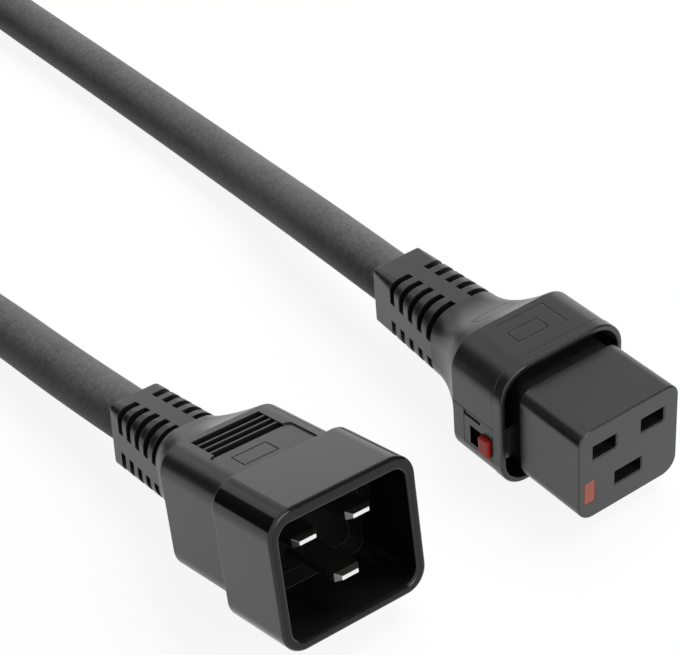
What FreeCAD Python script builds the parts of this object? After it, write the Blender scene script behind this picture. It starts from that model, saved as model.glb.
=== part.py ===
import FreeCAD, Part
import math
import os

# A power lead, in millimetres: a locking connector, its cord with a tied coil, and the plug at the
# far end. The connector is modelled in its own frame: X to the right seen from its face, Y from the
# face to the strain relief, Z up from the axis. The row frame has its origin under the middle.

# Distance under which two faces count as one
SAME = 1e-4

# Connector
LENGTH = 77.8
MOUTH_W = 33.5
MOUTH_H = 30.8
MOUTH_Z = -0.2
MOUTH_R_TOP = 7.6
MOUTH_R_BOTTOM = 6.9
MOUTH_Y = 20.5
PARTING_Y = 23.3
BOX_END = 36.6
FLARE_END = 53.0
SIDE_STEP = 0.15
WALL = 1.2
LIP_R = 0.4
SEAM = 0.15

# Insert with the contact slots
INSERT_STEP = 3.25
INSERT_W = MOUTH_W - 2 * INSERT_STEP
INSERT_H = 23.4
INSERT_Z = -0.4
INSERT_R_TOP = 3.2
INSERT_R_BOTTOM = 4.0
BLOCK_END = 18.2
NECK_STEP = 0.8
FLANGE_Y = 29.0
FLANGE_END = 34.6
CAP_END = 36.1
PIN_PITCH = 13.0
LINE_Z = 4.95
EARTH_Z = -5.05
SLOT_H = 3.4
LINE_SLOT_W = 6.2
EARTH_SLOT_W = 7.2
SLOT_DEPTH = 20.0
SLOT_LEAD_IN = 0.3
SLOT_EDGE_R = 0.1
SLOT_NEST = 0.01

# Spring contacts, the plate that grips the earth pin, and the insulated cores
LEAF = 0.5
LEAF_FRONT = 6.0
LEAF_END = 17.0
CONTACT_H = 3.0
CONTACT_SIDE_GAP = 0.4
TAIL_R = 1.5
TAIL_END = 32.0
CORE_R = 1.7
CORE_BEND_Y = 46.0
CORE_END = 50.0
CORE_LEAD = 6.0
CORE_X = 2.1
CORE_Z = 1.25
EARTH_CORE_Z = -2.4
MOULD_W = 22.0
MOULD_H = 19.0
MOULD_R = 3.0
MOULD_END = 14.0
MOULD_END_R = 2.5
PLATE_Y = 12.4
PLATE_T = 0.8
PLATE_MARGIN = 1.6

# Release slide: the bar in the face, the button in the side window, and its spring
BAR_W = 2.7
BAR_H = 5.5
BAR_INSET = 2.9
BAR_X = BAR_INSET - INSERT_W / 2
BAR_Z = -4.95
BAR_END = 28.6
TRAVEL = 3.5
SLIDE_GAP = 0.1
BUTTON_Y = 24.1
BUTTON_L = 3.2
BUTTON_H = 4.5
BUTTON_Z = -5.95
BUTTON_PROUD = 0.9
BUTTON_R = 0.35
WINDOW_GAP = 0.2
GUARD_Y = 22.8
GUARD_MARGIN = 1.0
SPRING_R = 1.0
SPRING_WIRE = 0.4
SPRING_TURNS = 6
SPRING_GAP = 0.02

# Side cover round the window
COVER_END = 33.1
COVER_TOP = 0.0
COVER_BOTTOM = -9.1
GROOVE_Y = 27.5
GROOVE_H = 1.3
GROOVE_DROP = 0.3
GROOVE_DEPTH = 0.3
HALF_SEAM = 0.2

# Bare label places: fine grooves round an empty field
LABEL_LINE = 0.25
LABEL_DEPTH = 0.15
LABEL_X = (-5.7, 2.6)
LABEL_Y = (27.5, 31.6)
LABEL_CORNER = (6.8, 34.8)
LABEL_CORNER_X = -5.9
LABEL_CORNER_Y = 26.4

# Strain relief
RELIEF_Z = -0.4
RELIEF_FRONT = (19.2, 18.4)
RELIEF_END = (13.3, 14.8)
RELIEF_R = 6.3
RELIEF_END_R = 0.8
RELIEF_EDGE_R = 0.5
SLOTS = 5
SLOT_PITCH = 3.85
SLOT_LENGTH = 1.85
LAST_SLOT = 8.45
SPINE_TOP = 2.1
SPINE_SIDE = 2.4
SLEEVE_R = 6.6
FLARE_POWER = 2.0
FLARE_SECTIONS = 7

# Plug: its frame has Y from the shroud's edge to the strain relief, Z up from the shroud's middle
SHROUD_W = 35.2
SHROUD_H = 30.9
SHROUD_R_TOP = 5.5
SHROUD_R_BOTTOM = 5.1
SHROUD_IN_W = 30.6
SHROUD_IN_H = 25.6
SHROUD_IN_R = 3.0
SHROUD_IN_Z = -0.4
SHROUD_LENGTH = 18.7
SHROUD_FLOOR = 17.2
SHROUD_LIP_R = 0.8
PLUG_W = 30.9
PLUG_H = 28.1
PLUG_R = 5.4
PLUG_MIDDLE = 0.15
PLUG_BOX_END = 40.0
PLUG_FLARE_END = 52.3
PLUG_LENGTH = 72.7
PLUG_FLARE_POWER = 1.4
PLUG_RELIEF_FRONT = (18.4, 17.9)
PLUG_RELIEF_END = (13.3, 15.6)
PLUG_RELIEF_END_R = 1.5
PLUG_SLOT_PITCH = 3.55
PLUG_LAST_SLOT = 4.5
PLUG_RELIEF_Z = 1.1
PLUG_CORD_RISE = 0.8
PLUG_RELIEF_LAP = 2.0
PLUG_LEDGE = 0.15
PLUG_BEND = 6.7
PLUG_SWAY = 2.5
PIN_W = 6.0
PIN_T = 2.0
PIN_TIP_W = 4.0
PIN_TIP_T = 0.9
PIN_TAPER = 1.3
PIN_EDGE_R = 0.2
PIN_TIP_Y = 4.0
EARTH_TIP_Y = 1.0
PLUG_LINE_Z = 4.6
PLUG_EARTH_Z = -5.0
BRIDGE_W = 24.0
BRIDGE_H = 19.0
BRIDGE_R = 2.0
BRIDGE_END = 30.0

# Grip in the plug's top: thin ribs across a deep well, behind a shallow bare panel
WELL_HALF_W = 8.4
WELL_Y = 29.7
WELL_END = 38.2
WELL_DEPTH = 1.6
RIBS = 3
RIB_PITCH = 2.2
RIB_T = 0.5
RIB_LOW = 0.15
PANEL_HALF_W = 10.0
PANEL_END = 30.0
PANEL_R = 1.5
PANEL_DEPTH = 0.35
PLUG_LABEL_X = (-6.4, 2.1)
PLUG_LABEL_Y = (22.6, 27.2)

# The plug lies nose up on the rear edge of its housing
PLUG_X = -64.8
PLUG_Y = -32.0
PLUG_YAW = 3.97
PLUG_PITCH = -11.15
PLUG_ROLL = 5.55

# Cord, in the row frame
CORD_D = 12.5
BEND_SHARE = 0.45
CORD_R = CORD_D / 2
AXIS_Z = MOUTH_H / 2 - MOUTH_Z
BAND_T = 1.2
BAND_ANGLE = 15.0
BAND_AT = 100.0
COIL_R = 66.0
COIL_ENTRY = 2.1
COIL_LOW_END = 318.0
COIL_EXIT = 200.0
COIL_Z = BAND_T + CORD_R
COIL_START = (1.3, 294.0)
CONNECTOR_ROUTE = [
    (0.0, LENGTH / 2, AXIS_Z),
    (0.0, 64.0, AXIS_Z),
    (6.6, 112.0, CORD_R),
    (5.2, 176.0, CORD_R),
    (3.3, 238.0, CORD_R),
    (COIL_START[0], COIL_START[1], COIL_Z),
]
PLUG_FIRST_RUN = 22.0
PLUG_ROUTE = [
    (-73.4, 98.0, CORD_R),
    (-78.5, 131.0, CORD_R),
    (-89.5, 184.0, CORD_R),
]
PLUG_LAST_RUN = 36.0


def vec(x, y, z):
    return FreeCAD.Vector(x, y, z)


def section(width, height, r_top, r_bottom, y, x=0.0, z=0.0):
    """Closed rounded rectangle in the plane Y = y."""
    half_w = width / 2
    half_h = height / 2
    corners = [(1, 1, r_top), (-1, 1, r_top), (-1, -1, r_bottom), (1, -1, r_bottom)]
    arcs = []
    for number, (sx, sz, r) in enumerate(corners):
        cx = x + sx * (half_w - r)
        cz = z + sz * (half_h - r)
        angles = [math.radians(90 * number + 45 * step) for step in range(3)]
        points = [vec(cx + r * math.cos(a), y, cz + r * math.sin(a)) for a in angles]
        arcs.append(points)
    edges = []
    for number, points in enumerate(arcs):
        edges.append(Part.Arc(*points).toShape())
        following = arcs[(number + 1) % 4][0]
        edges.append(Part.LineSegment(points[2], following).toShape())
    return Part.Wire(edges)


def prism(width, height, r_top, r_bottom, y0, y1, x=0.0, z=0.0):
    face = Part.Face(section(width, height, r_top, r_bottom, y0, x, z))
    return face.extrude(vec(0, y1 - y0, 0))


def block(x0, x1, y0, y1, z0, z1):
    return Part.makeBox(x1 - x0, y1 - y0, z1 - z0, vec(x0, y0, z0))


def rod(radius, y0, y1, x=0.0, z=0.0):
    return Part.makeCylinder(radius, y1 - y0, vec(x, y0, z), vec(0, 1, 0))


def edges_at(shape, y):
    """Edges that lie in the plane Y = y."""
    found = []
    for edge in shape.Edges:
        box = edge.BoundBox
        if max(abs(box.YMin - y), abs(box.YMax - y)) < SAME:
            found.append(edge)
    return found


def tube(points, radius, report=None):
    """Round tube along straight runs that are joined by tangent arcs."""
    spots = [vec(*p) for p in points]
    runs = [(b - a).Length for a, b in zip(spots, spots[1:])]
    edges = []
    radii = []
    start = spots[0]
    for i in range(1, len(spots) - 1):
        before = (spots[i] - spots[i - 1]).normalize()
        after = (spots[i + 1] - spots[i]).normalize()
        half_turn = before.getAngle(after) / 2
        reach = BEND_SHARE * min(runs[i - 1], runs[i])
        bend = reach / math.tan(half_turn)
        radii.append(bend)
        enter = spots[i] - before * reach
        leave = spots[i] + after * reach
        inward = (after - before).normalize()
        middle = spots[i] + inward * (bend / math.cos(half_turn) - bend)
        edges.append(Part.LineSegment(start, enter).toShape())
        edges.append(Part.Arc(enter, middle, leave).toShape())
        start = leave
    edges.append(Part.LineSegment(start, spots[-1]).toShape())
    path = Part.Wire(edges)
    first = (spots[1] - spots[0]).normalize()
    ring = Part.Wire([Part.Circle(spots[0], first, radius).toShape()])
    solid = path.makePipeShell([ring], True, True)
    if report:
        ideal = math.pi * radius ** 2 * path.Length
        print(report, "radii", [round(r) for r in radii], "length", round(path.Length, 1),
              "volume ratio", round(solid.Volume / ideal, 4))
    return solid


def flare(box, y0, y1, end_size, end_z, power):
    """Concave funnel from the housing's box, given as width, height, radii and middle, to the relief."""
    end = (*end_size, RELIEF_R, RELIEF_R, end_z)
    wires = []
    for step in range(FLARE_SECTIONS):
        share = step / (FLARE_SECTIONS - 1)
        fall = (1 - share) ** power
        w, h, top, bottom, middle = [b + (a - b) * fall for a, b in zip(box, end)]
        wires.append(section(w, h, top, bottom, y0 + (y1 - y0) * share, 0.0, middle))
    return Part.makeLoft(wires, True, False)


def relief(y0, y1, z, front, end, end_r, last_slot, pitch):
    """Strain relief that tapers from round to square corners, with slots that leave four spines."""
    wires = [section(*front, RELIEF_R, RELIEF_R, y0, 0.0, z), section(*end, end_r, end_r, y1, 0.0, z)]
    body = Part.makeLoft(wires, True, True)
    body = body.makeFillet(RELIEF_EDGE_R, edges_at(body, y1))
    reach = max(front)
    for number in range(SLOTS):
        middle = y1 - last_slot - number * pitch
        a = middle - SLOT_LENGTH / 2
        b = middle + SLOT_LENGTH / 2
        slab = block(-reach, reach, a, b, -reach, reach)
        slab = slab.cut(block(-SPINE_TOP, SPINE_TOP, a, b, -reach, reach))
        slab = slab.cut(block(-reach, reach, a, b, z - SPINE_SIDE, z + SPINE_SIDE))
        slab = slab.cut(rod(SLEEVE_R, a, b))
        body = body.cut(slab)
    return body


def label_frame(x0, x1, y0, y1, top):
    """Fine groove round a bare rectangular field in a flat top."""
    low = top - LABEL_DEPTH
    high = top + 1
    frame = block(x0, x1, y0, y1, low, high)
    return frame.cut(block(x0 + LABEL_LINE, x1 - LABEL_LINE, y0 + LABEL_LINE, y1 - LABEL_LINE, low, high))


def core(x, z, y0, bend_y, end_x, end_z):
    return tube([(x, y0, z), (x, bend_y, z), (end_x, CORE_BEND_Y, end_z), (end_x, CORE_END, end_z)],
                CORE_R)


def contact(x, z, slot_w):
    half = slot_w / 2 - CONTACT_SIDE_GAP
    high = CONTACT_H / 2
    piece = block(x - half, x + half, LEAF_END, SLOT_DEPTH, z - high, z + high)
    piece = piece.fuse(block(x - half, x + half, LEAF_FRONT, LEAF_END, z + high - LEAF, z + high))
    piece = piece.fuse(block(x - half, x + half, LEAF_FRONT, LEAF_END, z - high, z - high + LEAF))
    piece = piece.fuse(rod(TAIL_R, SLOT_DEPTH, TAIL_END, x, z))
    return piece.removeSplitter()


def slot(x, z, width):
    """Contact slot with a slight lead-in at its mouth."""
    cut = block(x - width / 2, x + width / 2, 0, SLOT_DEPTH, z - SLOT_H / 2, z + SLOT_H / 2)
    wide = width + 2 * SLOT_LEAD_IN
    high = SLOT_H + 2 * SLOT_LEAD_IN
    outer = section(wide, high, 2 * SLOT_EDGE_R, 2 * SLOT_EDGE_R, 0.0, x, z)
    wide = width - 2 * SLOT_NEST
    high = SLOT_H - 2 * SLOT_NEST
    inner = section(wide, high, SLOT_EDGE_R, SLOT_EDGE_R, SLOT_LEAD_IN, x, z)
    return cut.fuse(Part.makeLoft([outer, inner], True, True))


def lock_plate():
    half_w = EARTH_SLOT_W / 2
    half_h = SLOT_H / 2
    left = BAR_X + BAR_W / 2 + 2 * SLIDE_GAP
    right = half_w + PLATE_MARGIN
    plate = block(left, right, PLATE_Y, PLATE_Y + PLATE_T,
                  EARTH_Z - half_h - PLATE_MARGIN, EARTH_Z + half_h + PLATE_MARGIN)
    return plate.cut(block(-half_w, half_w, PLATE_Y, PLATE_Y + PLATE_T, EARTH_Z - half_h, EARTH_Z + half_h))


def release_slide(side_x):
    """Red slide: the bar that shows in the face, its link and the button in the side window."""
    bar_left = BAR_X - BAR_W / 2
    bar = block(bar_left, bar_left + BAR_W, 0, BAR_END, BAR_Z - BAR_H / 2, BAR_Z + BAR_H / 2)
    z0 = BUTTON_Z - BUTTON_H / 2
    z1 = BUTTON_Z + BUTTON_H / 2
    outer = -MOUTH_W / 2 - BUTTON_PROUD
    button = block(outer, side_x + WALL, BUTTON_Y, BUTTON_Y + BUTTON_L, z0, z1)
    rounded = [e for e in button.Edges if abs(e.BoundBox.XMin - outer) < SAME]
    button = button.makeFillet(BUTTON_R, rounded)
    low = max(z0, BAR_Z - BAR_H / 2)
    link = block(side_x + WALL / 2, bar_left + BAR_W / 2, BUTTON_Y, BUTTON_Y + BUTTON_L, low, z1)
    return bar.fuse(link).fuse(button).removeSplitter()


def slide_space(side_x):
    """Room for the slide over its whole travel."""
    bar_left = BAR_X - BAR_W / 2
    channel = block(bar_left - SLIDE_GAP, bar_left + BAR_W + SLIDE_GAP, 0, FLANGE_END,
                    BAR_Z - BAR_H / 2 - SLIDE_GAP, BAR_Z + BAR_H / 2 + SLIDE_GAP)
    notch = block(side_x, bar_left + BAR_W, BUTTON_Y - WINDOW_GAP,
                  BUTTON_Y + BUTTON_L + TRAVEL + WINDOW_GAP,
                  BUTTON_Z - BUTTON_H / 2 - WINDOW_GAP, BUTTON_Z + BUTTON_H / 2 + WINDOW_GAP)
    return channel.fuse(notch)


def link_guard():
    """Lug on the carrier's flange that stands in front of the slide's link."""
    side = MOUTH_W / 2 - WALL - SIDE_STEP
    neck = INSERT_W / 2 - NECK_STEP
    top = max(BUTTON_Z + BUTTON_H / 2, BAR_Z + BAR_H / 2) + GUARD_MARGIN
    low = min(BUTTON_Z - BUTTON_H / 2, BAR_Z - BAR_H / 2) - GUARD_MARGIN
    return block(-side, -neck, GUARD_Y, FLANGE_Y, low, top)


def return_spring():
    wire_r = SPRING_WIRE / 2
    height = FLANGE_END - BAR_END - 2 * (wire_r + SPRING_GAP)
    helix = Part.makeHelix(height / SPRING_TURNS, height, SPRING_R)
    ring = Part.Wire([Part.Circle(vec(SPRING_R, 0, 0), vec(0, 1, 0), wire_r).toShape()])
    spring = Part.Wire(helix.Edges).makePipeShell([ring], True, True)
    spring.rotate(vec(0, 0, 0), vec(1, 0, 0), -90)
    spring.translate(vec(BAR_X, BAR_END + wire_r + SPRING_GAP, BAR_Z))
    return spring


def cavity(y0, y1):
    """Room inside the housing's wall, or what fills it, between two stations."""
    inset = WALL + SIDE_STEP
    return prism(MOUTH_W - 2 * inset, MOUTH_H - 2 * inset, MOUTH_R_TOP - inset, MOUTH_R_BOTTOM - inset,
                 y0, y1, 0.0, MOUTH_Z)


def front_frame():
    frame = prism(MOUTH_W, MOUTH_H, MOUTH_R_TOP, MOUTH_R_BOTTOM, MOUTH_Y, PARTING_Y, 0.0, MOUTH_Z)
    frame = frame.cut(cavity(MOUTH_Y, PARTING_Y))
    frame = frame.makeFillet(LIP_R, edges_at(frame, MOUTH_Y))
    face = next(f for f in frame.Faces if abs(f.BoundBox.YMin - PARTING_Y) < SAME)
    return frame.makeChamfer(SEAM, face.OuterWire.Edges)


def inner_mould(y0, width, height, radius, cores):
    wires = [
        section(width, height, radius, radius, y0),
        section(MOULD_END, MOULD_END, MOULD_END_R, MOULD_END_R, CORE_END),
    ]
    mould = Part.makeLoft(wires, True, True)
    for item in cores:
        mould = mould.cut(item)
    return mould


def connector():
    parts = {}
    side_x = -MOUTH_W / 2 + SIDE_STEP
    half_pitch = PIN_PITCH / 2

    places = {"line": (half_pitch, LINE_Z, LINE_SLOT_W), "neutral": (-half_pitch, LINE_Z, LINE_SLOT_W),
              "earth": (0.0, EARTH_Z, EARTH_SLOT_W)}
    ends = {"line": (CORE_X, CORE_Z), "neutral": (-CORE_X, CORE_Z), "earth": (0.0, EARTH_CORE_Z)}
    cores = []
    for name, (x, z, width) in places.items():
        parts[name + "_contact"] = contact(x, z, width)
        parts[name + "_core"] = core(x, z, TAIL_END, CAP_END, *ends[name])
        cores.append(parts[name + "_core"])

    parts["lock_plate"] = lock_plate()
    parts["release_slide"] = release_slide(side_x)
    parts["return_spring"] = return_spring()
    parts["front_frame"] = front_frame()

    carrier = prism(INSERT_W, INSERT_H, INSERT_R_TOP, INSERT_R_BOTTOM, 0, BLOCK_END, 0.0, INSERT_Z)
    carrier = carrier.makeFillet(LIP_R, edges_at(carrier, 0.0))
    carrier = carrier.fuse(prism(INSERT_W - 2 * NECK_STEP, INSERT_H - 2 * NECK_STEP,
                                 INSERT_R_TOP, INSERT_R_TOP, BLOCK_END, FLANGE_Y, 0.0, INSERT_Z))
    carrier = carrier.fuse(cavity(FLANGE_Y, FLANGE_END)).fuse(link_guard())
    for name, (x, z, width) in places.items():
        carrier = carrier.cut(slot(x, z, width))
        carrier = carrier.cut(rod(TAIL_R, SLOT_DEPTH, TAIL_END, x, z))
    carrier = carrier.cut(slide_space(side_x))
    carrier = carrier.cut(parts["lock_plate"])
    cap = cavity(FLANGE_END, CAP_END)
    for item in cores:
        carrier = carrier.cut(item)
        cap = cap.cut(item)
    parts["contact_carrier"] = carrier
    parts["carrier_cap"] = cap
    parts["inner_mould"] = inner_mould(CAP_END, MOULD_W, MOULD_H, MOULD_R, cores)
    parts["jacket_end"] = rod(CORD_R, CORE_END, LENGTH)

    box = (MOUTH_W - 2 * SIDE_STEP, MOUTH_H - 2 * SIDE_STEP,
           MOUTH_R_TOP - SIDE_STEP, MOUTH_R_BOTTOM - SIDE_STEP, MOUTH_Z)
    hood = prism(*box[:4], PARTING_Y, BOX_END, 0.0, MOUTH_Z)
    hood = hood.makeChamfer(SEAM, edges_at(hood, PARTING_Y))
    hood = hood.fuse(flare(box, BOX_END, FLARE_END, RELIEF_FRONT, RELIEF_Z, FLARE_POWER))
    hood = hood.fuse(relief(FLARE_END, LENGTH, RELIEF_Z, RELIEF_FRONT, RELIEF_END, RELIEF_END_R,
                            LAST_SLOT, SLOT_PITCH))
    hood = hood.cut(cavity(PARTING_Y, CAP_END))
    hood = hood.cut(inner_mould(CAP_END, MOULD_W, MOULD_H, MOULD_R, []))
    hood = hood.cut(rod(CORD_R, CORE_END, LENGTH))
    top = MOUTH_Z + MOUTH_H / 2 - SIDE_STEP
    hood = hood.cut(label_frame(*LABEL_X, *LABEL_Y, top))
    far_x, far_y = LABEL_CORNER
    hood = hood.cut(block(LABEL_CORNER_X, far_x, far_y - LABEL_LINE, far_y, top - LABEL_DEPTH, top))
    hood = hood.cut(block(far_x - LABEL_LINE, far_x, LABEL_CORNER_Y, far_y, top - LABEL_DEPTH, top))
    pocket = block(side_x, side_x + WALL, PARTING_Y, COVER_END, COVER_BOTTOM, COVER_TOP)
    seam = block(side_x, side_x + SEAM, COVER_END, BOX_END, COVER_TOP - HALF_SEAM, COVER_TOP)
    parts["hood"] = hood.cut(pocket).cut(seam)

    window = block(side_x, side_x + WALL, BUTTON_Y - WINDOW_GAP,
                   BUTTON_Y + BUTTON_L + TRAVEL + WINDOW_GAP,
                   BUTTON_Z - BUTTON_H / 2 - WINDOW_GAP, BUTTON_Z + BUTTON_H / 2 + WINDOW_GAP)
    outline = [e for e in pocket.Edges if abs(e.BoundBox.XMax - side_x) < SAME]
    cover = pocket.makeChamfer(SEAM, outline).cut(window)
    groove_top = COVER_TOP - GROOVE_DROP
    cover = cover.cut(block(side_x, side_x + GROOVE_DEPTH, GROOVE_Y, COVER_END - SEAM,
                            groove_top - GROOVE_H, groove_top))
    parts["lock_cover"] = cover
    return parts


def pin(x, z, tip_y):
    """Flat pin with a tapered tip."""
    wires = [
        section(PIN_TIP_W, PIN_TIP_T, PIN_EDGE_R, PIN_EDGE_R, tip_y, x, z),
        section(PIN_W, PIN_T, PIN_EDGE_R, PIN_EDGE_R, tip_y + PIN_TAPER, x, z),
    ]
    blade = Part.makeLoft(wires, True, True)
    return blade.fuse(prism(PIN_W, PIN_T, PIN_EDGE_R, PIN_EDGE_R, tip_y + PIN_TAPER, BRIDGE_END, x, z))


def relief_turn():
    """Placement of the plug's strain relief, which the cord bends up and aside at the flare's end."""
    turn = FreeCAD.Rotation(vec(0, 0, 1), PLUG_SWAY).multiply(FreeCAD.Rotation(vec(1, 0, 0), PLUG_BEND))
    return FreeCAD.Placement(vec(0, PLUG_FLARE_END, PLUG_RELIEF_Z + PLUG_CORD_RISE), turn)


def grip(top):
    """Well in the plug's top that leaves thin ribs across it."""
    well = block(-WELL_HALF_W, WELL_HALF_W, WELL_Y, WELL_END, top - WELL_DEPTH, top + 1)
    middle = (WELL_Y + WELL_END) / 2
    for number in range(RIBS):
        y = middle + (number - (RIBS - 1) / 2) * RIB_PITCH - RIB_T / 2
        well = well.cut(block(-WELL_HALF_W, WELL_HALF_W, y, y + RIB_T, top - WELL_DEPTH, top - RIB_LOW))
    return well


def plug_shroud(bridge_hole):
    shroud = prism(SHROUD_W, SHROUD_H, SHROUD_R_TOP, SHROUD_R_BOTTOM, 0, SHROUD_LENGTH)
    shroud = shroud.cut(prism(SHROUD_IN_W, SHROUD_IN_H, SHROUD_IN_R, SHROUD_IN_R, 0, SHROUD_FLOOR,
                              0.0, SHROUD_IN_Z))
    shroud = shroud.makeFillet(SHROUD_LIP_R, edges_at(shroud, 0.0))
    shroud = shroud.makeFillet(SHROUD_LIP_R / 2, edges_at(shroud, SHROUD_LENGTH))
    return shroud.cut(bridge_hole)


def plug_hood(bridge_hole, jacket):
    top = PLUG_MIDDLE + PLUG_H / 2
    box = (PLUG_W, PLUG_H, PLUG_R, PLUG_R, PLUG_MIDDLE)
    hood = prism(*box[:4], SHROUD_LENGTH, PLUG_BOX_END, 0.0, PLUG_MIDDLE)
    end = [size + 2 * PLUG_LEDGE for size in PLUG_RELIEF_FRONT]
    hood = hood.fuse(flare(box, PLUG_BOX_END, PLUG_FLARE_END, end, PLUG_RELIEF_Z, PLUG_FLARE_POWER))
    sleeve = relief(0, PLUG_LENGTH - PLUG_FLARE_END, -PLUG_CORD_RISE, PLUG_RELIEF_FRONT, PLUG_RELIEF_END,
                    PLUG_RELIEF_END_R, PLUG_LAST_SLOT, PLUG_SLOT_PITCH)
    sleeve = sleeve.fuse(prism(*PLUG_RELIEF_FRONT, RELIEF_R, RELIEF_R, -PLUG_RELIEF_LAP, 0,
                               0.0, -PLUG_CORD_RISE))
    hood = hood.fuse(sleeve.transformed(relief_turn().toMatrix()))
    panel = prism(2 * PANEL_HALF_W, PANEL_END - SHROUD_LENGTH + PANEL_R, PANEL_R, PANEL_R, 0, PANEL_DEPTH)
    panel.rotate(vec(0, 0, 0), vec(1, 0, 0), 90)
    panel.translate(vec(0, (PANEL_END + SHROUD_LENGTH - PANEL_R) / 2, top - PANEL_DEPTH))
    hood = hood.cut(panel).cut(grip(top))
    hood = hood.cut(label_frame(*PLUG_LABEL_X, *PLUG_LABEL_Y, top - PANEL_DEPTH))
    hood = hood.cut(bridge_hole)
    hood = hood.cut(inner_mould(BRIDGE_END, BRIDGE_W, BRIDGE_H, BRIDGE_R, []))
    return hood.cut(jacket)


def plug():
    parts = {}
    half_pitch = PIN_PITCH / 2
    places = {"line": (half_pitch, PLUG_LINE_Z, PIN_TIP_Y),
              "neutral": (-half_pitch, PLUG_LINE_Z, PIN_TIP_Y),
              "earth": (0.0, PLUG_EARTH_Z, EARTH_TIP_Y)}
    ends = {"line": (CORE_X, CORE_Z), "neutral": (-CORE_X, CORE_Z), "earth": (0.0, EARTH_CORE_Z)}
    bridge = prism(BRIDGE_W, BRIDGE_H, BRIDGE_R, BRIDGE_R, SHROUD_FLOOR, BRIDGE_END)
    cores = []
    for name, (x, z, tip_y) in places.items():
        parts[name + "_pin"] = pin(x, z, tip_y)
        bridge = bridge.cut(prism(PIN_W, PIN_T, PIN_EDGE_R, PIN_EDGE_R, SHROUD_FLOOR, BRIDGE_END, x, z))
        item = core(x, z, BRIDGE_END, BRIDGE_END + CORE_LEAD, *ends[name])
        parts["plug_" + name + "_core"] = item
        cores.append(item)
    parts["pin_bridge"] = bridge
    parts["plug_inner_mould"] = inner_mould(BRIDGE_END, BRIDGE_W, BRIDGE_H, BRIDGE_R, cores)
    start = CORE_END - PLUG_FLARE_END
    jacket = rod(CORD_R, start - CORD_R, PLUG_LENGTH - PLUG_FLARE_END).transformed(relief_turn().toMatrix())
    jacket = jacket.cut(block(-CORD_D, CORD_D, 0, CORE_END, -CORD_D, CORD_D))
    parts["plug_jacket_end"] = jacket
    hole = prism(BRIDGE_W, BRIDGE_H, BRIDGE_R, BRIDGE_R, SHROUD_FLOOR, BRIDGE_END)
    parts["plug_shroud"] = plug_shroud(hole)
    parts["plug_hood"] = plug_hood(hole, jacket)
    return parts


def plug_place(shapes):
    """Placement that lays the plug on the surface in its nose-up pose."""
    turn = FreeCAD.Rotation(vec(0, 0, 1), PLUG_YAW)
    turn = turn.multiply(FreeCAD.Rotation(vec(1, 0, 0), PLUG_PITCH))
    turn = turn.multiply(FreeCAD.Rotation(vec(0, 1, 0), PLUG_ROLL))
    place = FreeCAD.Placement(vec(PLUG_X, PLUG_Y, 0), turn)
    lowest = min(s.transformed(place.toMatrix()).optimalBoundingBox(False).ZMin for s in shapes)
    place.Base = vec(PLUG_X, PLUG_Y, -lowest)
    return place


def coil_section(grow):
    """Outline of the two laps, one on the other, in the plane Y = 0, out by grow."""
    r = CORD_R + grow
    low = COIL_Z
    high = COIL_Z + CORD_D
    edges = [
        Part.LineSegment(vec(COIL_R + r, 0, low), vec(COIL_R + r, 0, high)).toShape(),
        Part.Arc(vec(COIL_R + r, 0, high), vec(COIL_R, 0, high + r), vec(COIL_R - r, 0, high)).toShape(),
        Part.LineSegment(vec(COIL_R - r, 0, high), vec(COIL_R - r, 0, low)).toShape(),
        Part.Arc(vec(COIL_R - r, 0, low), vec(COIL_R, 0, low - r), vec(COIL_R + r, 0, low)).toShape(),
    ]
    return Part.Face(Part.Wire(edges))


def turned(face, start, end):
    """The face turned about the coil's axis from one angle to another."""
    face = face.copy()
    face.rotate(vec(0, 0, 0), vec(0, 0, 1), start)
    return face.revolve(vec(0, 0, 0), vec(0, 0, 1), end - start)


def coil_centre():
    angle = math.radians(COIL_ENTRY)
    return vec(COIL_START[0] - COIL_R * math.cos(angle), COIL_START[1] - COIL_R * math.sin(angle), 0)


def coil_and_tie():
    lap = Part.Face(Part.Wire([Part.Circle(vec(COIL_R, 0, COIL_Z), vec(0, 1, 0), CORD_R).toShape()]))
    coil = turned(coil_section(0.0), COIL_ENTRY, COIL_EXIT)
    coil = coil.fuse(turned(lap, COIL_EXIT, COIL_LOW_END)).removeSplitter()
    band = coil_section(BAND_T).cut(coil_section(0.0)).Faces[0]
    tie = turned(band, BAND_AT - BAND_ANGLE / 2, BAND_AT + BAND_ANGLE / 2)
    for item in (coil, tie):
        item.translate(coil_centre())
    return coil, tie


def plug_cord(place):
    """Cord from the plug's strain relief along the surface and up to the coil's upper lap."""
    place = place.multiply(relief_turn())
    reach = PLUG_LENGTH - PLUG_FLARE_END
    start = place.multVec(vec(0, reach, 0))
    first = place.multVec(vec(0, reach + PLUG_FIRST_RUN, 0))
    angle = math.radians(COIL_EXIT)
    centre = coil_centre()
    end = vec(centre.x + COIL_R * math.cos(angle), centre.y + COIL_R * math.sin(angle), COIL_Z + CORD_D)
    heading = vec(-math.sin(angle), math.cos(angle), 0)
    before = end + heading * PLUG_LAST_RUN
    points = [start, first] + PLUG_ROUTE + [before, end]
    return tube(points, CORD_R, "cord_run_plug")


def save(name, shape):
    if not shape.isValid() or len(shape.Solids) != 1:
        print("CHECK", name, "valid", shape.isValid(), "solids", len(shape.Solids))
    shape.exportStep("parts/" + name + ".step")


def main():
    os.makedirs("parts", exist_ok=True)
    for name, shape in connector().items():
        shape.translate(vec(0, -LENGTH / 2, AXIS_Z))
        save(name, shape)
    pieces = plug()
    place = plug_place([pieces["plug_shroud"], pieces["plug_hood"]])
    for name, shape in pieces.items():
        save(name, shape.transformed(place.toMatrix()))
    save("cord_run_connector", tube(CONNECTOR_ROUTE, CORD_R, "cord_run_connector"))
    save("cord_run_plug", plug_cord(place))
    coil, tie = coil_and_tie()
    save("cord_coil", coil)
    save("coil_tie", tie)


main()
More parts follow.
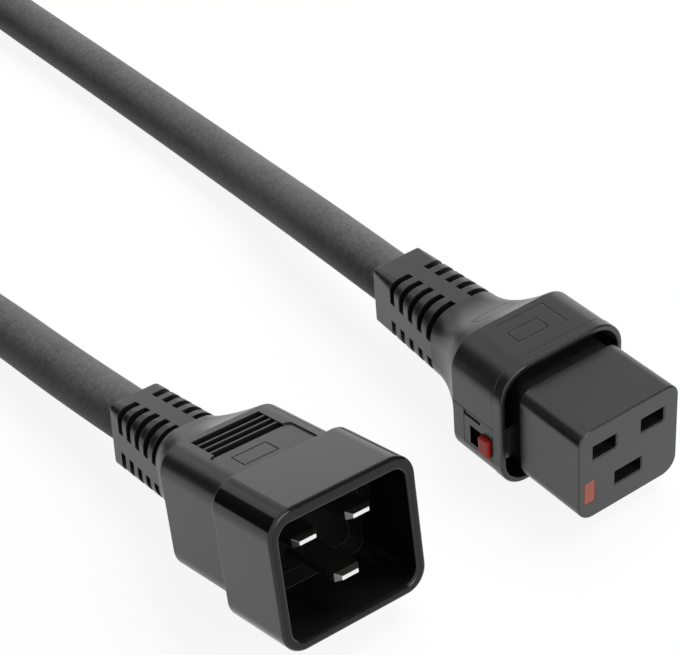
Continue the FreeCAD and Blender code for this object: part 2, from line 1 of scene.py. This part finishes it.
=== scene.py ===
import bmesh
import bpy
import math
from mathutils import Matrix, Vector


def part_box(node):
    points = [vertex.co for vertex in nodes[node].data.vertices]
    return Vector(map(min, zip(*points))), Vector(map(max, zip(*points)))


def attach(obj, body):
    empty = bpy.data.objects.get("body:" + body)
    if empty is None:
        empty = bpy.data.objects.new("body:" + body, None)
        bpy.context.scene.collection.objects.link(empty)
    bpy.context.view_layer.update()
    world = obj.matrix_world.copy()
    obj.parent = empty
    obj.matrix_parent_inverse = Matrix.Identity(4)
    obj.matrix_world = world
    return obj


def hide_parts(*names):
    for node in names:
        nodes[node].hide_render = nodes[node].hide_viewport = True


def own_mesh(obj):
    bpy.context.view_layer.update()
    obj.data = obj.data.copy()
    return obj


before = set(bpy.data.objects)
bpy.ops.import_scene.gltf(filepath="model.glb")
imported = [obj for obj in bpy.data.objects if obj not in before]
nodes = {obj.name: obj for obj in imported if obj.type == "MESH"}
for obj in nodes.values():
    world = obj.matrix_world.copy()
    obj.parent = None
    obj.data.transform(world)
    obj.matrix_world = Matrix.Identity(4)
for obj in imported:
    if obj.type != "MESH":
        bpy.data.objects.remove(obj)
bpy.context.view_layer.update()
bpy.context.scene.view_settings.view_transform = "Standard"

# ---------------------------------------------------------------------------------------------
# Camera: a long lens that looks down on the lead from the front left, with the connector at the
# right and the plug at the left, both with their faces towards it.
# ---------------------------------------------------------------------------------------------
turn = math.radians(-32.981)
height = math.radians(37.377)
roll = math.radians(-5.033)
camera_place = (-0.21341, -0.26421, 0.28699)
back = Vector((
    math.sin(turn) * math.cos(height), -math.cos(turn) * math.cos(height), math.sin(height)))
level = Vector((math.cos(turn), math.sin(turn), 0.0))
upright = back.cross(level)
right = level * math.cos(roll) + upright * math.sin(roll)
up = upright * math.cos(roll) - level * math.sin(roll)
lens = bpy.data.cameras.new("camera")
lens.lens = 105.88
lens.sensor_width = 36.0
camera = bpy.data.objects.new("camera", lens)
camera.matrix_world = (
    Matrix.Translation(camera_place) @ Matrix((right, up, back)).transposed().to_4x4())
bpy.context.scene.collection.objects.link(camera)
bpy.context.scene.camera = camera


# ---------------------------------------------------------------------------------------------
# Insert: the square nose that carries the contacts, moulded in glass-filled nylon with a smooth
# satin face and fine rounded edges. It is pushed into the housing from the front and capped.
# ---------------------------------------------------------------------------------------------
class Value:
    """A shader value that can stand in a sum."""

    def __init__(self, shader, socket):
        self.shader = shader
        self.socket = socket

    def sum(self, operation, first, second):
        return self.shader.node("ShaderNodeMath", {"operation": operation}, {0: first, 1: second})

    def __add__(self, other):
        return self.sum("ADD", self, other)

    def __radd__(self, other):
        return self.sum("ADD", other, self)

    def __sub__(self, other):
        return self.sum("SUBTRACT", self, other)

    def __rsub__(self, other):
        return self.sum("SUBTRACT", other, self)

    def __mul__(self, other):
        return self.sum("MULTIPLY", self, other)

    def __rmul__(self, other):
        return self.sum("MULTIPLY", other, self)


class Shader:
    """A material with one Principled surface, whose constants are set on its own sockets."""

    def __init__(self, name, **constants):
        self.material = bpy.data.materials.new(name)
        self.material.use_nodes = True
        self.tree = self.material.node_tree
        self.surface = self.tree.nodes["Principled BSDF"]
        for socket, number in constants.items():
            self.surface.inputs[socket.replace("_", " ")].default_value = number

    def node(self, kind, settings, inputs, output=0):
        made = self.tree.nodes.new(kind)
        for name, setting in settings.items():
            setattr(made, name, setting)
        for name, source in inputs.items():
            if isinstance(source, Value):
                self.tree.links.new(source.socket, made.inputs[name])
            else:
                made.inputs[name].default_value = source
        return Value(self, made.outputs[output])

    def place(self):
        return self.node("ShaderNodeTexCoord", {}, {}, "Object")

    def noise(self, size, detail=3.0, roughness=0.5, where=None):
        return self.node("ShaderNodeTexNoise", {}, {
            "Vector": where or self.place(), "Scale": 1.0 / size,
            "Detail": detail, "Roughness": roughness})

    def rise(self, value, low, high):
        """0 up to low, 1 from high on, and even between them."""
        return self.node("ShaderNodeMapRange", {"clamp": True}, {
            0: value, 1: low, 2: high, 3: 0.0, 4: 1.0})

    def blend(self, share, first, second):
        return self.node("ShaderNodeMix", {"data_type": "RGBA"}, {0: share, 6: first, 7: second}, 2)

    def feed(self, socket, value):
        self.tree.links.new(value.socket, self.surface.inputs[socket])

    def rounded(self, radius):
        """The normal with every sharp edge rounded off to this radius."""
        return self.node("ShaderNodeBevel", {"samples": 4}, {"Radius": radius})

    def edge(self, rounded):
        """1 along rounded edges and 0 on the faces."""
        flat = self.node("ShaderNodeNewGeometry", {}, {}, "Normal")
        same = self.node("ShaderNodeVectorMath", {"operation": "DOT_PRODUCT"}, {
            0: rounded, 1: flat}, "Value")
        return self.rise(1.0 - same, 0.02, 0.2)

    def bump(self, height, distance, normal=None):
        inputs = {"Height": height, "Distance": distance, "Strength": 1.0}
        if normal:
            inputs["Normal"] = normal
        self.feed("Normal", self.node("ShaderNodeBump", {}, inputs))


def dress(node, shader):
    """Give one CAD node a single finish."""
    mesh = nodes[node].data
    mesh.materials.clear()
    mesh.materials.append(shader.material)


def moulded(name, shade, roughness, grain_depth, edge_radius, gloss=0.62, marks_and_painted_light=0.05):
    """Moulded plastic: a fine spark-eroded grain, faint clouding, and paler edges,
    partly wear and partly a painted highlight.
    """
    shader = Shader(name, Specular_IOR_Level=gloss)
    grain = shader.noise(0.00022, 2.0)
    cloud = shader.noise(0.011, 3.0)
    wear_and_highlight_patches = shader.noise(0.0025, 4.0, 0.6)
    round_edge = shader.rounded(edge_radius)
    edge = shader.edge(round_edge)
    dark = tuple(0.9 * c for c in shade) + (1,)
    pale = tuple(1.1 * c for c in shade) + (1,)
    # The colour the edges blend to, in patches: partly real wear, partly a painted highlight on the
    # rounded edges.
    worn_and_highlit = tuple(marks_and_painted_light + 1.5 * c for c in shade) + (1,)
    body = shader.blend(cloud, dark, pale)
    shader.feed("Base Color", shader.blend(edge * wear_and_highlight_patches, body, worn_and_highlit))
    shader.feed("Roughness", roughness - 0.05 + 0.06 * grain + 0.06 * wear_and_highlight_patches - 0.08 * edge)
    shader.bump(grain, grain_depth, round_edge)
    return shader


insert_shade = (0.016, 0.016, 0.017)
dress("contact_carrier", moulded("insert_plastic", insert_shade, 0.27, 0.000003, 0.00018, 0.70))
dress("carrier_cap", moulded("carrier_cap_plastic", insert_shade, 0.45, 0.000006, 0.00018))


# ---------------------------------------------------------------------------------------------
# Contacts, the plate that grips the earth pin, and the slide's spring: stamped brass and bright
# spring steel, set in the insert and hardly seen behind its slots. The spring bears on the cap and
# would shorten by the slide's travel; here it keeps one fixed length.
# ---------------------------------------------------------------------------------------------
def stamped(name, shade, roughness):
    """Stamped or drawn metal with fine streaks along it."""
    shader = Shader(name, Metallic=1.0)
    streak = shader.noise(1.0, 3.0, 0.6, shader.node("ShaderNodeMapping", {}, {
        "Vector": shader.place(), "Scale": (3000.0, 180.0, 3000.0)}))
    stain = shader.noise(0.003, 4.0, 0.6)
    dark = tuple(0.82 * c for c in shade) + (1,)
    shader.feed("Base Color", shader.blend(stain, dark, shade + (1,)))
    shader.feed("Roughness", roughness - 0.04 + 0.10 * streak + 0.06 * stain)
    shader.bump(streak, 0.000003, shader.rounded(0.00012))
    return shader


for name in ("line_contact", "neutral_contact", "earth_contact"):
    dress(name, stamped(name + "_brass", (0.62, 0.46, 0.20), 0.34))
dress("lock_plate", stamped("lock_plate_steel", (0.52, 0.52, 0.54), 0.32))

wire = bmesh.new()
wire.from_mesh(nodes["return_spring"].data)
bmesh.ops.remove_doubles(wire, verts=wire.verts, dist=0.000001)
spring_mesh = bpy.data.meshes.new("slide_spring")
wire.to_mesh(spring_mesh)
wire.free()
spring_mesh.materials.clear()
spring_mesh.materials.append(stamped("return_spring_steel", (0.56, 0.56, 0.58), 0.26).material)
spring = bpy.data.objects.new("slide_spring", spring_mesh)
bpy.context.scene.collection.objects.link(spring)
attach(spring, "lead")
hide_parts("return_spring")
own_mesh(spring)

# ---------------------------------------------------------------------------------------------
# Release slide: one red acetal moulding, with the bar in the face of the insert and the button
# that stands out of the side window. It is satin, paler at its edges, partly from wear and partly
# as a painted highlight, and dull at its nose.
# ---------------------------------------------------------------------------------------------
slide = Shader("release_slide_plastic", Specular_IOR_Level=0.35)
slide_grain = slide.noise(0.0003, 2.0)
slide_cloud = slide.noise(0.004, 3.0)
slide_edge = slide.rounded(0.0002)
red_dark = (0.80, 0.042, 0.028, 1)
red_pale = (0.90, 0.056, 0.036, 1)
red_dull = (0.45, 0.115, 0.080, 1)
# Paler red for the edges: partly wear, partly a painted highlight.
red_worn_and_highlit = (0.75, 0.20, 0.15, 1)
slide_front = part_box("release_slide")[0][1]
nose_from, nose_to = slide_front + 0.003, slide_front + 0.004
slide_body = slide.blend(slide_cloud, red_dark, red_pale)
depth = slide.node("ShaderNodeSeparateXYZ", {}, {0: slide.place()}, "Y")
slide_body = slide.blend(1.0 - slide.rise(depth, nose_from, nose_to), slide_body, red_dull)
# Edges blend toward the paler red: partly wear, partly a painted highlight.
slide.feed("Base Color", slide.blend(slide.edge(slide_edge) * 0.4, slide_body, red_worn_and_highlit))
slide.feed("Roughness", 0.34 + 0.08 * slide_grain)
slide.bump(slide_grain, 0.000005, slide_edge)
dress("release_slide", slide)

# ---------------------------------------------------------------------------------------------
# Housing: front frame, overmoulded hood with its strain relief, and the side cover round the
# window. Charcoal thermoplastic with a fine eroded grain and a satin sheen. An oval place for a
# mark is engraved on top of the funnel.
# ---------------------------------------------------------------------------------------------
housing_shade = (0.013, 0.013, 0.014)
dress("front_frame", moulded("front_frame_plastic", housing_shade, 0.27, 0.000004, 0.00025))
hood_plastic = moulded("hood_plastic", housing_shade, 0.30, 0.000005, 0.00025)
oval_middle = (0.0007, 0.0040)
oval_half = (0.0060, 0.0016)
oval_over = 0.018
oval_deep = 0.0004
hood_x, hood_y, hood_z = (
    hood_plastic.node("ShaderNodeSeparateXYZ", {}, {0: hood_plastic.place()}, axis)
    for axis in ("X", "Y", "Z"))
oval_x = (hood_x - oval_middle[0]) * (1 / oval_half[0])
oval_y = (hood_y - oval_middle[1]) * (1 / oval_half[1])
off_oval = hood_plastic.node("ShaderNodeMath", {"operation": "ABSOLUTE"}, {
    0: oval_x * oval_x + oval_y * oval_y - 1.0})
oval_line = 1.0 - hood_plastic.rise(off_oval, 0.08, 0.16)
oval_line = oval_line * hood_plastic.rise(hood_z, oval_over, oval_over + 0.0005)
grained = Value(hood_plastic, hood_plastic.surface.inputs["Normal"].links[0].from_socket)
hood_plastic.bump(1.0 - oval_line, oval_deep, grained)
dress("hood", hood_plastic)
dress("lock_cover", moulded("lock_cover_plastic", housing_shade, 0.28, 0.000004, 0.00015))

# ---------------------------------------------------------------------------------------------
# Inner moulds and cores: a plain grey moulding locks the three insulated cores where they fan
# out from the contacts and the pins to the cord.
# ---------------------------------------------------------------------------------------------
for name in ("inner_mould", "plug_inner_mould"):
    dress(name, moulded(name + "_plastic", (0.11, 0.11, 0.11), 0.50, 0.000008, 0.0003))
core_shades = {
    "line": (0.20, 0.08, 0.03), "neutral": (0.03, 0.10, 0.40), "earth": (0.12, 0.34, 0.04)}
for name, shade in core_shades.items():
    for core in (name + "_core", "plug_" + name + "_core"):
        dress(core, moulded(core + "_plastic", shade, 0.42, 0.000004, 0.0001))

# ---------------------------------------------------------------------------------------------
# Tie: a woven hook-and-loop band round both laps of the put-away coil, with its end lapped over
# itself on the outside and held by two rows of stitches.
# ---------------------------------------------------------------------------------------------
cord_d = 0.0125
cord_r = cord_d / 2
coil_r = 0.066
band_t = 0.0012
coil_z = band_t + cord_r
coil_low, coil_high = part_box("cord_coil")
coil_x = coil_low[0] + coil_r + cord_r
coil_y = coil_high[1] - coil_r - cord_r
tie_at = math.radians(100.0)
tie_half = math.radians(7.3)
tie_t = 0.0008
tie_lap = 0.016
tie_start = 0.002
lap_rise = 0.004
lap_gap = 0.00002
cord_gap = 0.00015
selvedge = 0.2
selvedge_thinner = 0.00025
tie_steps = 72
tie_columns = 12


def band_path(distance, offset):
    """A point on the outline of the two laps, out by offset."""
    side = cord_d
    arc = math.pi * cord_r
    distance = distance % (2 * side + 2 * arc)
    if distance < side:
        return Vector((coil_r + cord_r + offset, coil_z + distance))
    distance -= side
    if distance < arc:
        angle = distance / cord_r
        outward = Vector((math.cos(angle), math.sin(angle)))
        return Vector((coil_r, coil_z + side)) + outward * (cord_r + offset)
    distance -= arc
    if distance < side:
        return Vector((coil_r - cord_r - offset, coil_z + side - distance))
    angle = math.pi + (distance - side) / cord_r
    outward = Vector((math.cos(angle), math.sin(angle)))
    return Vector((coil_r, coil_z)) + outward * (cord_r + offset)


whole = 2 * cord_d + 2 * math.pi * cord_r
tie_mesh = bpy.data.meshes.new("tie")
tie_points = []
tie_marks = []
for layer in (0, 1):
    for step in range(tie_steps + 1):
        along = (whole + tie_lap) * step / tie_steps
        lifted = min(max((along - whole + lap_rise) / lap_rise, 0.0), 1.0)
        lift = cord_gap + (3 - 2 * lifted) * lifted ** 2 * (tie_t + lap_gap)
        for column in range(tie_columns + 1):
            across = 2.0 * column / tie_columns - 1.0
            edge_drop = selvedge_thinner * max(abs(across) - 1.0 + selvedge, 0.0) / selvedge
            offset = lift + (tie_t - edge_drop if layer else 0.0)
            spot = band_path(along + tie_start, offset)
            angle = tie_at + across * tie_half
            tie_points.append(
                (coil_x + spot.x * math.cos(angle), coil_y + spot.x * math.sin(angle), spot.y))
            tie_marks.append((along, across * tie_half * coil_r))
row = tie_columns + 1
sheet_size = (tie_steps + 1) * row
tie_faces = []
for step in range(tie_steps):
    for column in range(tie_columns):
        a = step * row + column
        tie_faces.append((a, a + 1, a + row + 1, a + row))
        b = a + sheet_size
        tie_faces.append((b, b + row, b + row + 1, b + 1))
    for column, flip in ((0, True), (tie_columns, False)):
        a = step * row + column
        quad = (a, a + row, a + row + sheet_size, a + sheet_size)
        tie_faces.append(quad[::-1] if flip else quad)
for step, flip in ((0, False), (tie_steps, True)):
    for column in range(tie_columns):
        a = step * row + column
        quad = (a, a + 1, a + 1 + sheet_size, a + sheet_size)
        tie_faces.append(quad[::-1] if flip else quad)
tie_mesh.from_pydata(tie_points, [], tie_faces)
tie_mesh.update()
cloth_map = tie_mesh.uv_layers.new(name="cloth")
for loop in tie_mesh.loops:
    cloth_map.data[loop.index].uv = tie_marks[loop.vertex_index]
cloth = Shader("tie_fabric", Roughness=0.9, Specular_IOR_Level=0.2, Sheen_Weight=0.25,
               Sheen_Roughness=0.5)
weave_at = cloth.node("ShaderNodeUVMap", {"uv_map": "cloth"}, {})
thread_gap = 0.0007
threads = 2 * math.pi / thread_gap
warp, weft = (
    cloth.node("ShaderNodeMath", {"operation": "SINE"}, {
        0: cloth.node("ShaderNodeSeparateXYZ", {}, {0: weave_at}, way) * threads})
    for way in ("X", "Y"))
weave = warp * weft * 0.5 + 0.5
fuzz = cloth.noise(0.0005, 5.0, 0.7)
cloth.feed("Base Color", cloth.blend(
    weave * 0.5 + fuzz * 0.5, (0.012, 0.012, 0.013, 1), (0.045, 0.045, 0.048, 1)))
cloth.bump(weave + fuzz * 0.6, 0.00012)
tie_mesh.materials.append(cloth.material)
bulk = bmesh.new()
bulk.from_mesh(tie_mesh)
bmesh.ops.recalc_face_normals(bulk, faces=bulk.faces)
bulk.to_mesh(tie_mesh)
bulk.free()
for face in tie_mesh.polygons:
    face.use_smooth = True
tie = bpy.data.objects.new("tie", tie_mesh)
bpy.context.scene.collection.objects.link(tie)
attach(tie, "lead")
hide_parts("coil_tie")

yarn = Shader("tie_yarn", Roughness=0.8, Specular_IOR_Level=0.3)
twist = yarn.noise(0.0003, 3.0)
yarn.feed("Base Color", yarn.blend(twist, (0.05, 0.05, 0.05, 1), (0.11, 0.11, 0.11, 1)))
yarn.bump(twist, 0.00005)
rows = bpy.data.node_groups.new("stitch_rows", "GeometryNodeTree")
rows.is_modifier = True
numbers = {
    "Stitches": ("NodeSocketInt", 9),
    "Row radius": ("NodeSocketFloat", coil_r + cord_r + 0.0018),
    "Row start": ("NodeSocketFloat", tie_at - 0.8 * tie_half),
    "Row sweep": ("NodeSocketFloat", 1.6 * tie_half),
    "Stitch length": ("NodeSocketFloat", 0.0011),
    "Thread radius": ("NodeSocketFloat", 0.00016),
    "Row gap": ("NodeSocketFloat", 0.004)}
sockets = {}
for name, (kind, number) in numbers.items():
    made = rows.interface.new_socket(name, in_out="INPUT", socket_type=kind)
    made.default_value = number
    sockets[name] = made.identifier
rows.interface.new_socket("Geometry", in_out="OUTPUT", socket_type="NodeSocketGeometry")


def row_node(kind, settings, inputs):
    """One node of the stitch tree, with values or other nodes' outputs on its inputs."""
    made = rows.nodes.new(kind)
    for name, setting in settings.items():
        setattr(made, name, setting)
    for name, source in inputs.items():
        if isinstance(source, bpy.types.NodeSocket):
            rows.links.new(source, made.inputs[name])
        else:
            made.inputs[name].default_value = source
    return made


given = row_node("NodeGroupInput", {}, {})
arc = row_node("GeometryNodeCurveArc", {"mode": "RADIUS"}, {
    "Resolution": 48, "Radius": given.outputs["Row radius"],
    "Start Angle": given.outputs["Row start"], "Sweep Angle": given.outputs["Row sweep"]})
spots = row_node("GeometryNodeCurveToPoints", {"mode": "COUNT"}, {
    "Curve": arc.outputs["Curve"], "Count": given.outputs["Stitches"]})
stitch = row_node("GeometryNodeMeshCylinder", {"fill_type": "NGON"}, {
    "Vertices": 8, "Radius": given.outputs["Thread radius"],
    "Depth": given.outputs["Stitch length"]})
first_row = row_node("GeometryNodeInstanceOnPoints", {}, {
    "Points": spots.outputs["Points"], "Instance": stitch.outputs["Mesh"],
    "Rotation": spots.outputs["Rotation"]})
gap = row_node("ShaderNodeCombineXYZ", {}, {"Z": given.outputs["Row gap"]})
second_row = row_node("GeometryNodeTransform", {}, {
    "Geometry": first_row.outputs["Instances"], "Translation": gap.outputs["Vector"]})
both = row_node("GeometryNodeJoinGeometry", {}, {})
rows.links.new(first_row.outputs["Instances"], both.inputs[0])
rows.links.new(second_row.outputs["Geometry"], both.inputs[0])
solid = row_node("GeometryNodeRealizeInstances", {}, {"Geometry": both.outputs["Geometry"]})
coloured = row_node("GeometryNodeSetMaterial", {}, {
    "Geometry": solid.outputs["Geometry"], "Material": yarn.material})
row_node("NodeGroupOutput", {}, {"Geometry": coloured.outputs["Geometry"]})
blank = bpy.data.objects.new("stitch_source", bpy.data.meshes.new("stitch_source"))
bpy.context.scene.collection.objects.link(blank)
modifier = blank.modifiers.new("rows", "NODES")
modifier.node_group = rows
for name, (kind, number) in numbers.items():
    modifier[sockets[name]] = number
graph = bpy.context.evaluated_depsgraph_get()
sewn = bpy.data.meshes.new_from_object(blank.evaluated_get(graph))
blank.modifiers.remove(modifier)
bpy.data.objects.remove(blank)
first_row_up = 0.0045
sewn.transform(Matrix.Translation((coil_x, coil_y, coil_z + first_row_up)))
stitches = bpy.data.objects.new("tie_stitches", sewn)
bpy.context.scene.collection.objects.link(stitches)
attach(stitches, "lead")

# ---------------------------------------------------------------------------------------------
# Cord: a heavy round three-core lead in a matt black rubber sheath. It leaves the connector's
# strain relief, lies on the table, and makes one and a half laps before it reaches the plug.
# ---------------------------------------------------------------------------------------------
def sheath_finish(name):
    """Matt extruded rubber with a fine pebbled grain and soft clouding."""
    shader = Shader(name, Specular_IOR_Level=0.14)
    grain = shader.noise(0.0006, 3.0, 0.65)
    pebble = shader.noise(0.0014, 3.0, 0.5)
    cloud = shader.noise(0.012, 3.0)
    mottle = shader.rise(cloud * 0.2 + pebble * 0.25 + grain * 0.55, 0.36, 0.64)
    shader.feed("Base Color", shader.blend(
        mottle, (0.066, 0.066, 0.067, 1), (0.145, 0.145, 0.147, 1)))
    shader.feed("Roughness", 0.42 + 0.14 * grain)
    shader.bump(grain * 0.7 + pebble, 0.00006)
    return shader


axis_z = 0.0156
coil_entry = 2.1
coil_turn = 557.9
coil_steps = 31
climb_from = 300.0
climb_over = 45.0
relief_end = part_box("jacket_end")[1][1]
connector_route = [
    (0.0, relief_end, axis_z),
    (0.0, 0.064, axis_z),
    (0.0066, 0.112, cord_r),
    (0.0052, 0.176, cord_r),
    (0.0033, 0.238, cord_r),
    (0.0013, 0.294, coil_z),
]
laps = []
for step in range(1, coil_steps + 1):
    turned = coil_turn * step / coil_steps
    angle = math.radians(coil_entry + turned)
    climb = min(max((turned - climb_from) / climb_over, 0.0), 1.0)
    laps.append((coil_x + coil_r * math.cos(angle), coil_y + coil_r * math.sin(angle),
                 coil_z + climb * cord_d))
leaving = math.radians(coil_entry + coil_turn)
last_run = 0.036
after_coil = (
    laps[-1][0] - last_run * math.sin(leaving), laps[-1][1] + last_run * math.cos(leaving),
    laps[-1][2])
plug_route = [
    (-0.0895, 0.184, cord_r),
    (-0.0785, 0.131, cord_r),
    (-0.0734, 0.098, cord_r),
]


def set_at(base, spot, *turns):
    """A pose moved to a spot and then turned, in degrees about one axis after the other."""
    pose = base @ Matrix.Translation(spot)
    for degrees, axis in turns:
        pose = pose @ Matrix.Rotation(math.radians(degrees), 4, axis)
    return pose


plug_spot = (-0.0648, -0.032, 0.022287)
relief_seat = (0.0, 0.0523, 0.0019)
relief_long = 0.0204
straight_run = 0.022
plug_pose = set_at(Matrix.Identity(4), plug_spot, (3.97, "Z"), (-11.15, "X"), (5.55, "Y"))
relief_pose = set_at(plug_pose, relief_seat, (2.5, "Z"), (6.7, "X"))
plug_end = relief_pose @ Vector((0.0, relief_long, 0.0))
plug_first = relief_pose @ Vector((0.0, relief_long + straight_run, 0.0))
route = connector_route + laps + [after_coil] + plug_route + [tuple(plug_first), tuple(plug_end)]

line = bpy.data.curves.new("cord", "CURVE")
line.dimensions = "3D"
line.bevel_depth = cord_r
line.bevel_resolution = 8
line.resolution_u = 10
line.use_fill_caps = True
spline = line.splines.new("NURBS")
spline.points.add(len(route) - 1)
for point, spot in zip(spline.points, route):
    point.co = (*spot, 1.0)
spline.order_u = 3
spline.use_endpoint_u = True
line.materials.append(sheath_finish("cord_sheath").material)
cord = bpy.data.objects.new("cord", line)
bpy.context.scene.collection.objects.link(cord)
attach(cord, "lead")
cord_solids = ("cord_run_connector", "cord_coil", "cord_run_plug")
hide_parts(*cord_solids)
for name in ("jacket_end", "plug_jacket_end"):
    dress(name, sheath_finish(name + "_sheath"))

# ---------------------------------------------------------------------------------------------
# Plug: overmoulded hood with a ribbed grip, and a glossier shroud with a duller lip, pushed on
# over the bridge that holds three flat nickel-plated pins. The bridge and the pins' flanks are
# painted dark as shade inside the shroud; only the pins' end faces show bright nickel.
# ---------------------------------------------------------------------------------------------
dress("plug_hood", moulded("plug_hood_plastic", housing_shade, 0.28, 0.000004, 0.00025, 0.55))
pin_way = plug_pose.to_3x3() @ Vector((0.0, -1.0, 0.0))


def facing_mask(shader, way):
    """1 where the surface faces one way and 0 elsewhere."""
    facing = shader.node("ShaderNodeVectorMath", {"operation": "DOT_PRODUCT"}, {
        0: shader.node("ShaderNodeNewGeometry", {}, {}, "Normal"), 1: tuple(way)}, "Value")
    return shader.rise(facing, 0.90, 0.98)


shroud_shade = (0.009, 0.009, 0.010)
# The bridge is darker than the other charcoal parts: painted shade of the shroud's inside.
bridge_painted_shade = (0.006, 0.006, 0.006)
polished = moulded("plug_shroud_plastic", shroud_shade, 0.15, 0.000001, 0.0003, 0.15, 0.18)
polished.surface.inputs["Coat Roughness"].default_value = 0.10
polished.feed("Coat Weight", 0.56 - 0.33 * facing_mask(polished, pin_way))
dress("plug_shroud", polished)
dress("pin_bridge", moulded("pin_bridge_plastic", bridge_painted_shade, 0.5, 0.000006, 0.0002, 0.05))
for name in ("line_pin", "neutral_pin", "earth_pin"):
    plate = Shader(name + "_nickel", Metallic=1.0)
    end_faces = facing_mask(plate, pin_way)
    stain = plate.noise(0.002, 4.0, 0.6)
    drawn = plate.noise(1.0, 3.0, 0.6, plate.node("ShaderNodeMapping", {}, {
        "Vector": plate.place(), "Scale": (2500.0, 200.0, 2500.0)}))
    # Dark nickel for the pins' flanks: stains, and painted shade of the shroud's inside.
    marks_and_painted_light = plate.blend(stain, (0.12, 0.12, 0.12, 1), (0.30, 0.29, 0.28, 1))
    plate.feed("Base Color", plate.blend(end_faces, marks_and_painted_light, (0.86, 0.85, 0.83, 1)))
    plate.feed("Roughness", 0.30 + 0.12 * drawn - 0.16 * end_faces)
    plate.bump(drawn, 0.000003, plate.rounded(0.00010))
    dress(name, plate)

# ---------------------------------------------------------------------------------------------
# Studio: a pale floor and backdrop, one soft box high on the right, two weak fills, and cards that
# only show in glossy surfaces: black ones as dark bands in rounded edges, a grey one as the sky.
# ---------------------------------------------------------------------------------------------
floor_mesh = bpy.data.meshes.new("floor")
reach = 6.0
floor_mesh.from_pydata(
    [(-reach, -reach, 0), (reach, -reach, 0), (reach, reach, 0), (-reach, reach, 0)], [],
    [(0, 1, 2, 3)])
floor = bpy.data.objects.new("floor", floor_mesh)
bpy.context.scene.collection.objects.link(floor)
floor_shader = Shader("floor", Roughness=0.9, Specular_IOR_Level=0.1)
camera_ray, glossy_ray, clear_ray = (
    floor_shader.node("ShaderNodeLightPath", {}, {}, ray)
    for ray in ("Is Camera Ray", "Is Glossy Ray", "Is Transmission Ray"))
seen = floor_shader.rise(camera_ray + glossy_ray + clear_ray, 0.0, 1.0)
glow = floor_shader.tree.nodes.new("ShaderNodeEmission")
mixed = floor_shader.tree.nodes.new("ShaderNodeMixShader")
glow_share = camera_ray * 0.90 + (glossy_ray + clear_ray) * 0.80
floor_shader.tree.links.new(glow_share.socket, mixed.inputs[0])
floor_shader.feed("Base Color", floor_shader.blend(
    seen, (0.26, 0.26, 0.26, 1), (0.97, 0.97, 0.97, 1)))
floor_shader.tree.links.new(floor_shader.surface.outputs[0], mixed.inputs[1])
floor_shader.tree.links.new(glow.outputs[0], mixed.inputs[2])
floor_out = floor_shader.tree.nodes["Material Output"]
floor_shader.tree.links.new(mixed.outputs[0], floor_out.inputs["Surface"])
floor_mesh.materials.append(floor_shader.material)

world = bpy.data.worlds.new("studio")
world.use_nodes = True
bpy.context.scene.world = world
tree = world.node_tree
background = tree.nodes["Background"]
background.inputs["Color"].default_value = (1, 1, 1, 1)
background.inputs["Strength"].default_value = 0.14
white = tree.nodes.new("ShaderNodeBackground")
white.inputs["Color"].default_value = (1, 1, 1, 1)
white.inputs["Strength"].default_value = 1.0
paths = tree.nodes.new("ShaderNodeLightPath")
any_ray = tree.nodes.new("ShaderNodeMath")
any_ray.operation = "MAXIMUM"
either = tree.nodes.new("ShaderNodeMath")
either.operation = "MAXIMUM"
tree.links.new(paths.outputs["Is Camera Ray"], either.inputs[0])
tree.links.new(paths.outputs["Is Glossy Ray"], either.inputs[1])
tree.links.new(either.outputs[0], any_ray.inputs[0])
tree.links.new(paths.outputs["Is Transmission Ray"], any_ray.inputs[1])
mix = tree.nodes.new("ShaderNodeMixShader")
tree.links.new(any_ray.outputs[0], mix.inputs[0])
tree.links.new(background.outputs[0], mix.inputs[1])
tree.links.new(white.outputs[0], mix.inputs[2])
tree.links.new(mix.outputs[0], tree.nodes["World Output"].inputs["Surface"])


def soft_box(name, place, target, size, power):
    """A rectangular lamp of so many watts at one place, aimed at another."""
    lamp = bpy.data.lights.new(name, "AREA")
    lamp.shape = "RECTANGLE"
    lamp.size = size[0]
    lamp.size_y = size[1]
    lamp.energy = power
    item = bpy.data.objects.new(name, lamp)
    aim = (Vector(target) - Vector(place)).to_track_quat("-Z", "Y")
    item.matrix_world = Matrix.Translation(place) @ aim.to_matrix().to_4x4()
    bpy.context.scene.collection.objects.link(item)
    return item


overhead = soft_box("overhead", (0.42, 0.12, 0.88), (0.0, 0.05, 0.0), (0.8, 0.6), 10.0)
overhead.visible_glossy = False
soft_box("rear_fill", (0.55, 0.85, 0.22), (0.0, 0.05, 0.02), (0.9, 0.4), 0.8)
soft_box("front_fill", (0.30, -1.0, 0.45), (0.0, 0.0, 0.0), (0.8, 0.6), 6.0)

card_black = Shader("card_black", Roughness=1.0, Base_Color=(0.005, 0.005, 0.005, 1),
                    Specular_IOR_Level=0.0)
card_grey = Shader("card_grey", Roughness=1.0, Base_Color=(0.0, 0.0, 0.0, 1),
                   Specular_IOR_Level=0.0, Emission_Color=(1.0, 1.0, 1.0, 1),
                   Emission_Strength=0.70)


def card(name, foot_a, foot_b, top, shader=card_black):
    """An upright card between two points of the floor, seen only in glossy surfaces."""
    mesh = bpy.data.meshes.new(name)
    mesh.from_pydata(
        [(*foot_a, 0.0), (*foot_b, 0.0), (*foot_b, top), (*foot_a, top)], [], [(0, 1, 2, 3)])
    mesh.materials.append(shader.material)
    board = bpy.data.objects.new(name, mesh)
    bpy.context.scene.collection.objects.link(board)
    board.visible_camera = False
    board.visible_diffuse = False
    board.visible_shadow = False


card("rear_card", (-0.32, 0.70), (-0.72, 0.35), 0.72)
card("right_card", (0.50, -1.30), (0.50, 0.15), 1.10)
card("sky_card", (0.10, 1.50), (1.70, 0.30), 2.20, card_grey)
